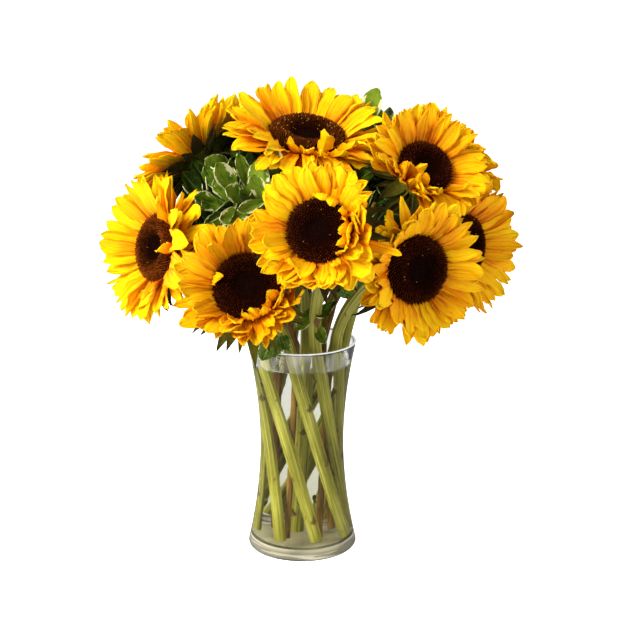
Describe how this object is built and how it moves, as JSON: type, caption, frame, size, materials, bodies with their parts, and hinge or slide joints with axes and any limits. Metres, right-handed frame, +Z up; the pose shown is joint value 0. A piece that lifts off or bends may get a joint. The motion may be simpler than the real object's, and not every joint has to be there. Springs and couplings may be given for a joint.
{
  "type": "sunflowers in a vase",
  "caption": "Bunch of sunflowers with sprigs of variegated pittosporum, standing in water in a waisted clear glass vase.",
  "frame": {"origin": "middle of the vase's foot, in the plane it rests on", "axes": "+Z up, -Y the front that faces the viewer"},
  "size_m": [0.4017, 0.3689, 0.4455],
  "materials": {
    "glass": "gloss",
    "water": "gloss",
    "petal": "satin",
    "disc": "matte",
    "stem": "satin",
    "leaf": "satin"
  },
  "bodies": {
    "root": {"back_disc": "disc", "back_petals": "petal", "back_stem": "stem", "centre_disc": "disc", "centre_petals": "petal", "centre_stem": "stem", "left_back_disc": "disc", "left_back_petals": "petal", "left_back_stem": "stem", "left_disc": "disc", "left_petals": "petal", "left_stem": "stem", "low_left_disc": "disc", "low_left_petals": "petal", "low_left_stem": "stem", "right_back_disc": "disc", "right_back_petals": "petal", "right_back_stem": "stem", "right_disc": "disc", "right_high_disc": "disc", "right_high_petals": "petal", "right_high_stem": "stem", "right_low_disc": "disc", "right_low_petals": "petal", "right_low_stem": "stem", "right_petals": "petal", "right_stem": "stem", "sprig_back": "leaf", "sprig_left": "leaf", "sprig_right": "leaf", "sprig_top": "leaf", "top_disc": "disc", "top_petals": "petal", "top_stem": "stem", "vase": "glass", "water": "water"}
  },
  "joints": []
}
